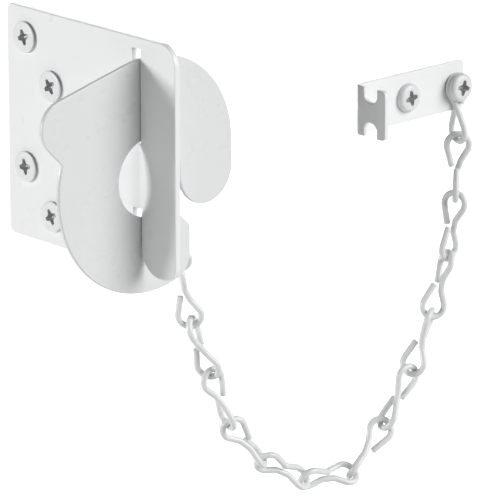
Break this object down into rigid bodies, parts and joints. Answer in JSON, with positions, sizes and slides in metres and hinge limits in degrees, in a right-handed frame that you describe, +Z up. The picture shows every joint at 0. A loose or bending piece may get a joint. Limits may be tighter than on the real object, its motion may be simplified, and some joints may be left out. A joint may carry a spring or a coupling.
{
  "type": "door chain guard",
  "caption": "Door chain guard: slotted keeper plate with a turning hooked disc, jack chain, and an angled jamb bracket with a notched flange.",
  "frame": {"origin": "on the keeper plate back face, in the middle plane of the hook disc and level with its centre", "axes": "+X along the keeper plate towards its free tongue, +Y out of the back face into the door, +Z up; the jamb bracket faces +X"},
  "size_m": [0.0691, 0.1514, 0.1414],
  "materials": {
    "plate_white": "gloss",
    "screw_white": "gloss",
    "chain_white": "gloss"
  },
  "bodies": {
    "frame": {"keeper_plate": "plate_white", "keeper_screw_1": "screw_white", "keeper_screw_2": "screw_white", "keeper_screw_3": "screw_white", "keeper_screw_4": "screw_white", "jamb_bracket": "plate_white", "bracket_screw_1": "screw_white", "bracket_screw_2": "screw_white"},
    "disc": {"hook_disc": "plate_white"},
    "hook": {"chain_hook": "chain_white"},
    "chain_link_01": {"chain_link_01": "chain_white"},
    "chain_link_02": {"chain_link_02": "chain_white"},
    "chain_link_03": {"chain_link_03": "chain_white"},
    "chain_link_04": {"chain_link_04": "chain_white"},
    "chain_link_05": {"chain_link_05": "chain_white"},
    "chain_link_06": {"chain_link_06": "chain_white"},
    "chain_link_07": {"chain_link_07": "chain_white"},
    "chain_link_08": {"chain_link_08": "chain_white"},
    "chain_link_09": {"chain_link_09": "chain_white"},
    "chain_link_10": {"chain_link_10": "chain_white"},
    "chain_link_11": {"chain_link_11": "chain_white"},
    "chain_link_12": {"chain_link_12": "chain_white"},
    "chain_link_13": {"chain_link_13": "chain_white"}
  },
  "joints": [
    {"name": "disc_turn", "type": "hinge", "parent": "frame", "child": "disc", "pos_m": [0, 0.0016, 0], "axis": [1, 0, 0], "range_deg": [-30, 95]},
    {"name": "hook_twist", "type": "hinge", "parent": "frame", "child": "hook", "pos_m": [0, 0.00625, -0.0084], "axis": [-0.2197, 0.4638, -0.8583], "range_deg": [-12, 12]},
    {"name": "chain_swing", "type": "hinge", "parent": "frame", "child": "chain_link_07", "pos_m": [-0.00535, 0.01755, -0.0293], "axis": [0.1146, 0.971, 0.21], "range_deg": [-6, 12]},
    {"name": "end_link_swivel", "type": "hinge", "parent": "frame", "child": "chain_link_13", "pos_m": [0.00485, 0.1114, 0.00605], "axis": [1, 0, 0], "range_deg": [-0.5, 0.5]},
    {"name": "link_01_twist", "type": "hinge", "parent": "chain_link_07", "child": "chain_link_01", "pos_m": [-0.00535, 0.01755, -0.0293], "axis": [0.0254, 0.2149, -0.9763], "range_deg": [-12, 12]},
    {"name": "link_02_twist", "type": "hinge", "parent": "chain_link_07", "child": "chain_link_02", "pos_m": [-0.00492, 0.0212, -0.0459], "axis": [0.0439, 0.372, -0.9272], "range_deg": [-9, 12]},
    {"name": "link_03_twist", "type": "hinge", "parent": "chain_link_07", "child": "chain_link_03", "pos_m": [-0.00417, 0.02753, -0.06166], "axis": [0.0439, 0.372, -0.9272], "range_deg": [-7, 8]},
    {"name": "link_04_twist", "type": "hinge", "parent": "chain_link_07", "child": "chain_link_04", "pos_m": [-0.00343, 0.03385, -0.07742], "axis": [0.0777, 0.6581, -0.749], "range_deg": [-10, 9]},
    {"name": "link_05_twist", "type": "hinge", "parent": "chain_link_07", "child": "chain_link_05", "pos_m": [-0.00211, 0.04504, -0.09015], "axis": [0.1005, 0.8513, -0.515], "range_deg": [-10, 6]},
    {"name": "link_06_twist", "type": "hinge", "parent": "chain_link_07", "child": "chain_link_06", "pos_m": [-0.0004, 0.05951, -0.09891], "axis": [0.1168, 0.99, -0.0785], "range_deg": [-6, 10]},
    {"name": "link_08_twist", "type": "hinge", "parent": "chain_link_07", "child": "chain_link_08", "pos_m": [0.00287, 0.08723, -0.08833], "axis": [0.0638, 0.5409, 0.8387], "range_deg": [-2, 8]},
    {"name": "link_09_twist", "type": "hinge", "parent": "chain_link_07", "child": "chain_link_09", "pos_m": [0.00396, 0.09643, -0.07408], "axis": [0.0486, 0.4118, 0.91], "range_deg": [-6, 3]},
    {"name": "link_10_twist", "type": "hinge", "parent": "chain_link_07", "child": "chain_link_10", "pos_m": [0.00478, 0.10343, -0.05861], "axis": [0.0401, 0.3397, 0.9397], "range_deg": [-3, 7]},
    {"name": "link_11_twist", "type": "hinge", "parent": "chain_link_07", "child": "chain_link_11", "pos_m": [0.00547, 0.1092, -0.04263], "axis": [0.0163, 0.1382, 0.9903], "range_deg": [-6, 3]},
    {"name": "link_12_twist", "type": "hinge", "parent": "chain_link_07", "child": "chain_link_12", "pos_m": [0.00574, 0.11155, -0.0258], "axis": [0.0051, 0.0433, 0.999], "range_deg": [-2, 5]}
  ]
}
